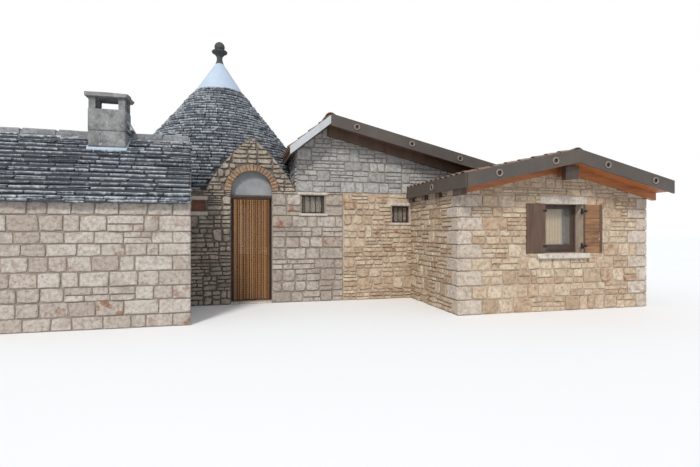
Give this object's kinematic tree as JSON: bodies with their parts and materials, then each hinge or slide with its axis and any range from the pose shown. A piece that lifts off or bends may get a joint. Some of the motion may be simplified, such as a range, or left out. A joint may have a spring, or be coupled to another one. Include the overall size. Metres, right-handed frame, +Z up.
{
  "type": "trullo house",
  "caption": "Stone house with a round room under a slab cone with a white tip, a slab-roofed kitchen wing with chimney and a tiled gabled wing.",
  "frame": {"origin": "on the cone's axis at ground level, on the underside of the round room's floor", "axes": "+X to the right along the front, +Y from the front into the house, +Z up"},
  "size_m": [11.95, 8.16, 6.3677],
  "materials": {
    "rubble_stone": "rough limestone rubble",
    "coursed_stone": "squared limestone blocks",
    "dressed_stone": "smooth pale limestone",
    "slab_stone": "thin weathered limestone slabs",
    "grey_stone": "weathered grey stone",
    "lime_plaster": "smooth white lime",
    "clay_tile": "fired clay",
    "fascia_paint": "matt brown-grey paint",
    "brown_timber": "stained softwood",
    "dark_wood": "dark brown varnish",
    "red_brown_wood": "red-brown varnish",
    "bead_wood": "varnished wooden beads",
    "black_iron": "black iron",
    "brass_metal": "satin brass",
    "clear_glass": "clear window glass"
  },
  "bodies": {
    "house": {"drum_wall_front": "rubble_stone", "drum_wall_right": "rubble_stone", "drum_wall_back": "rubble_stone", "drum_wall_left": "rubble_stone", "drum_lintels": "dressed_stone", "cone_roof": "slab_stone", "white_tip": "lime_plaster", "pinnacle": "grey_stone", "entrance_wall": "rubble_stone", "hatch": "red_brown_wood", "entrance_gable": "rubble_stone", "arch_ring": "rubble_stone", "tympanum": "dressed_stone", "entrance_saddle": "slab_stone", "threshold": "dressed_stone", "door_frame": "dark_wood", "door_pintles": "black_iron", "bead_curtain": "bead_wood", "kitchen_front_wall": "coursed_stone", "kitchen_right_wall": "coursed_stone", "kitchen_left_wall": "coursed_stone", "kitchen_back_wall": "coursed_stone", "kitchen_roof_front": "slab_stone", "kitchen_roof_back": "slab_stone", "kitchen_ridge": "grey_stone", "chimney_stack": "grey_stone", "chimney_cap": "grey_stone", "chimney_fillet": "lime_plaster", "pier_wall": "coursed_stone", "rubble_wall": "rubble_stone", "house_gable": "coursed_stone", "house_left_wall": "coursed_stone", "house_right_wall": "rubble_stone", "house_back_wall": "rubble_stone", "house_roof_left": "slab_stone", "house_roof_right": "clay_tile", "room_roof_left": "clay_tile", "room_roof_right": "clay_tile", "house_fascia": "fascia_paint", "room_fascia": "fascia_paint", "room_eave_fascia": "fascia_paint", "house_rafter": "brown_timber", "room_timbers": "brown_timber", "room_gable_wall": "rubble_stone", "room_left_wall": "rubble_stone", "room_window_stones": "dressed_stone", "room_window": "dark_wood", "room_glass": "clear_glass", "small_windows": "dark_wood", "shutters": "dark_wood", "floors": "dressed_stone"},
    "door": {"door_leaf": "red_brown_wood", "door_glass": "clear_glass", "door_straps": "black_iron", "door_handle": "brass_metal"}
  },
  "joints": [
    {"name": "door_hinge", "type": "hinge", "parent": "house", "child": "door", "pos_m": [0.3875, -2.442, 0], "axis": [0, 0, 1], "range_deg": [0, 90]}
  ]
}
